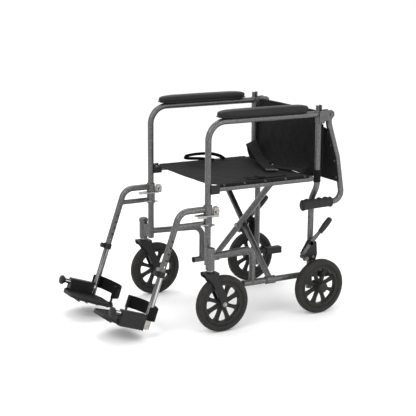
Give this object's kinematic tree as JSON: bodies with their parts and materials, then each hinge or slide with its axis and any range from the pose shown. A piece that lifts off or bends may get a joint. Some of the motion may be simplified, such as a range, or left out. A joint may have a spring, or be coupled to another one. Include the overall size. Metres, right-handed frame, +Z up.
{
  "type": "transport wheelchair",
  "caption": "Folding transport wheelchair with a tubular frame, sling seat, fold-down back, padded arms, small wheels, swing-away footrests and wheel locks.",
  "frame": {"origin": "centre of the bounding box's base, on the floor", "axes": "+Z up, the chair faces -Y, +X is the sitter's left"},
  "size_m": [0.568, 0.9556, 0.776],
  "materials": {
    "frame_paint": "grey hammered metallic powder coat",
    "black_plastic": "fine-grained black moulding",
    "wheel_plastic": "moulded dark grey-black",
    "tyre": "solid grey-black tyre",
    "chrome": "bright plate",
    "zinc": "zinc plated",
    "nylon": "black woven nylon",
    "webbing": "black ribbed webbing",
    "vinyl": "black grained vinyl",
    "rubber": "black moulded grip"
  },
  "bodies": {
    "right_frame": {"right_arm_frame": "frame_paint", "right_rear_post": "frame_paint", "right_brace_tube": "frame_paint", "right_lower_rail": "frame_paint", "right_caster_housing": "frame_paint", "right_arm_pad": "vinyl", "right_seat_guide": "black_plastic", "right_cane_bracket": "frame_paint", "right_brake_bracket": "black_plastic", "right_tip_lever": "frame_paint", "right_rear_axle": "chrome", "right_belt": "webbing", "back_lower": "nylon"},
    "left_frame": {"left_arm_frame": "frame_paint", "left_rear_post": "frame_paint", "left_brace_tube": "frame_paint", "left_lower_rail": "frame_paint", "left_caster_housing": "frame_paint", "left_arm_pad": "vinyl", "left_seat_guide": "black_plastic", "left_cane_bracket": "frame_paint", "left_brake_bracket": "black_plastic", "left_tip_lever": "frame_paint", "left_rear_axle": "chrome", "left_belt": "webbing", "belt_buckle": "black_plastic"},
    "cross_a": {"cross_tube_a": "frame_paint", "pivot_bolt": "zinc", "left_seat_rail": "frame_paint"},
    "cross_b": {"cross_tube_b": "frame_paint", "right_seat_rail": "frame_paint"},
    "left_seat": {"left_seat_panel": "nylon"},
    "left_caster": {"left_caster_fork": "black_plastic"},
    "left_caster_wheel": {"left_caster_rim": "wheel_plastic", "left_caster_tyre": "tyre"},
    "left_rear_wheel": {"left_rear_rim": "wheel_plastic", "left_rear_tyre": "tyre"},
    "left_hanger": {"left_hanger": "frame_paint", "left_hanger_bracket": "zinc"},
    "left_extension": {"left_extension": "chrome"},
    "left_footplate": {"left_footplate": "black_plastic", "left_heel_loop": "webbing"},
    "left_brake": {"left_brake_lever": "zinc"},
    "left_cane": {"left_push_cane": "frame_paint", "left_grip": "rubber"},
    "right_seat": {"right_seat_panel": "nylon"},
    "right_caster": {"right_caster_fork": "black_plastic"},
    "right_caster_wheel": {"right_caster_rim": "wheel_plastic", "right_caster_tyre": "tyre"},
    "right_rear_wheel": {"right_rear_rim": "wheel_plastic", "right_rear_tyre": "tyre"},
    "right_hanger": {"right_hanger": "frame_paint", "right_hanger_bracket": "zinc"},
    "right_extension": {"right_extension": "chrome"},
    "right_footplate": {"right_footplate": "black_plastic", "right_heel_loop": "webbing"},
    "right_brake": {"right_brake_lever": "zinc"},
    "right_cane": {"right_push_cane": "frame_paint", "right_grip": "rubber", "back_upper": "nylon"}
  },
  "joints": [
    {"name": "frame_fold", "type": "hinge", "parent": "right_frame", "child": "cross_a", "pos_m": [-0.185, 0.13215, 0.135], "axis": [0, -1, 0], "range_deg": [0, 31.6], "deforming": ["back_lower", "back_upper", "left_belt", "right_belt", "left_seat_panel", "right_seat_panel"]},
    {"name": "brace_scissor", "type": "hinge", "parent": "cross_a", "child": "cross_b", "pos_m": [0, 0.17515, 0.30393], "axis": [0, -1, 0], "range_deg": [-63.2, 0]},
    {"name": "left_rail_pivot", "type": "hinge", "parent": "cross_b", "child": "left_frame", "pos_m": [0.185, 0.13215, 0.135], "axis": [0, -1, 0], "range_deg": [0, 31.6]},
    {"name": "left_seat_fold", "type": "hinge", "parent": "cross_a", "child": "left_seat", "pos_m": [0.218, 0.13215, 0.503], "axis": [0, -1, 0], "range_deg": [0, 36.48]},
    {"name": "right_seat_fold", "type": "hinge", "parent": "cross_b", "child": "right_seat", "pos_m": [-0.218, 0.13215, 0.503], "axis": [0, -1, 0], "range_deg": [-36.48, 0]},
    {"name": "left_caster_swivel", "type": "hinge", "parent": "left_frame", "child": "left_caster", "pos_m": [0.258, -0.10685, 0.22], "axis": [0, 0, 1], "continuous": true},
    {"name": "left_caster_roll", "type": "hinge", "parent": "left_caster", "child": "left_caster_wheel", "pos_m": [0.258, -0.05785, 0.1016], "axis": [1, 0, 0], "continuous": true},
    {"name": "left_wheel_roll", "type": "hinge", "parent": "left_frame", "child": "left_rear_wheel", "pos_m": [0.242, 0.36415, 0.1016], "axis": [1, 0, 0], "continuous": true},
    {"name": "left_hanger_swing", "type": "hinge", "parent": "left_frame", "child": "left_hanger", "pos_m": [0.218, -0.09485, 0.41], "axis": [0, 0, 1], "range_deg": [0, 90]},
    {"name": "left_extension_slide", "type": "slide", "parent": "left_hanger", "child": "left_extension", "axis": [0, 0.3257, 0.9455], "range_m": [-0.021, 0.063]},
    {"name": "left_footplate_flip", "type": "hinge", "parent": "left_extension", "child": "left_footplate", "pos_m": [0.218, -0.32862, 0.07404], "axis": [0, 0.9455, -0.3257], "range_deg": [0, 68], "deforming": ["left_heel_loop"]},
    {"name": "left_brake_lever", "type": "hinge", "parent": "left_frame", "child": "left_brake", "pos_m": [0.2184, 0.33915, 0.262], "axis": [1, 0, 0], "range_deg": [0, 25.5]},
    {"name": "right_caster_swivel", "type": "hinge", "parent": "right_frame", "child": "right_caster", "pos_m": [-0.258, -0.10685, 0.22], "axis": [0, 0, 1], "continuous": true},
    {"name": "right_caster_roll", "type": "hinge", "parent": "right_caster", "child": "right_caster_wheel", "pos_m": [-0.258, -0.05785, 0.1016], "axis": [1, 0, 0], "continuous": true},
    {"name": "right_wheel_roll", "type": "hinge", "parent": "right_frame", "child": "right_rear_wheel", "pos_m": [-0.242, 0.36415, 0.1016], "axis": [1, 0, 0], "continuous": true},
    {"name": "right_hanger_swing", "type": "hinge", "parent": "right_frame", "child": "right_hanger", "pos_m": [-0.218, -0.09485, 0.41], "axis": [0, 0, -1], "range_deg": [0, 90]},
    {"name": "right_extension_slide", "type": "slide", "parent": "right_hanger", "child": "right_extension", "axis": [0, 0.3257, 0.9455], "range_m": [-0.021, 0.063]},
    {"name": "right_footplate_flip", "type": "hinge", "parent": "right_extension", "child": "right_footplate", "pos_m": [-0.218, -0.32862, 0.07404], "axis": [0, -0.9455, 0.3257], "range_deg": [0, 68], "deforming": ["right_heel_loop"]},
    {"name": "right_brake_lever", "type": "hinge", "parent": "right_frame", "child": "right_brake", "pos_m": [-0.2184, 0.33915, 0.262], "axis": [1, 0, 0], "range_deg": [0, 25.5]},
    {"name": "right_cane_fold", "type": "hinge", "parent": "right_frame", "child": "right_cane", "pos_m": [-0.218, 0.40415, 0.733], "axis": [1, 0, 0], "range_deg": [0, 160]},
    {"name": "left_cane_fold", "type": "hinge", "parent": "left_frame", "child": "left_cane", "pos_m": [0.218, 0.40415, 0.733], "axis": [1, 0, 0], "range_deg": [0, 160]}
  ],
  "couplings": [
    {"joint": "brace_scissor", "follows": "frame_fold", "ratio": -2},
    {"joint": "left_rail_pivot", "follows": "frame_fold", "ratio": 1},
    {"joint": "left_seat_fold", "follows": "frame_fold", "ratio": 1.1546},
    {"joint": "right_seat_fold", "follows": "frame_fold", "ratio": -1.1546},
    {"joint": "left_footplate_flip", "follows": "frame_fold", "ratio": 2.152},
    {"joint": "right_footplate_flip", "follows": "frame_fold", "ratio": 2.152},
    {"joint": "left_cane_fold", "follows": "right_cane_fold", "ratio": 1}
  ]
}
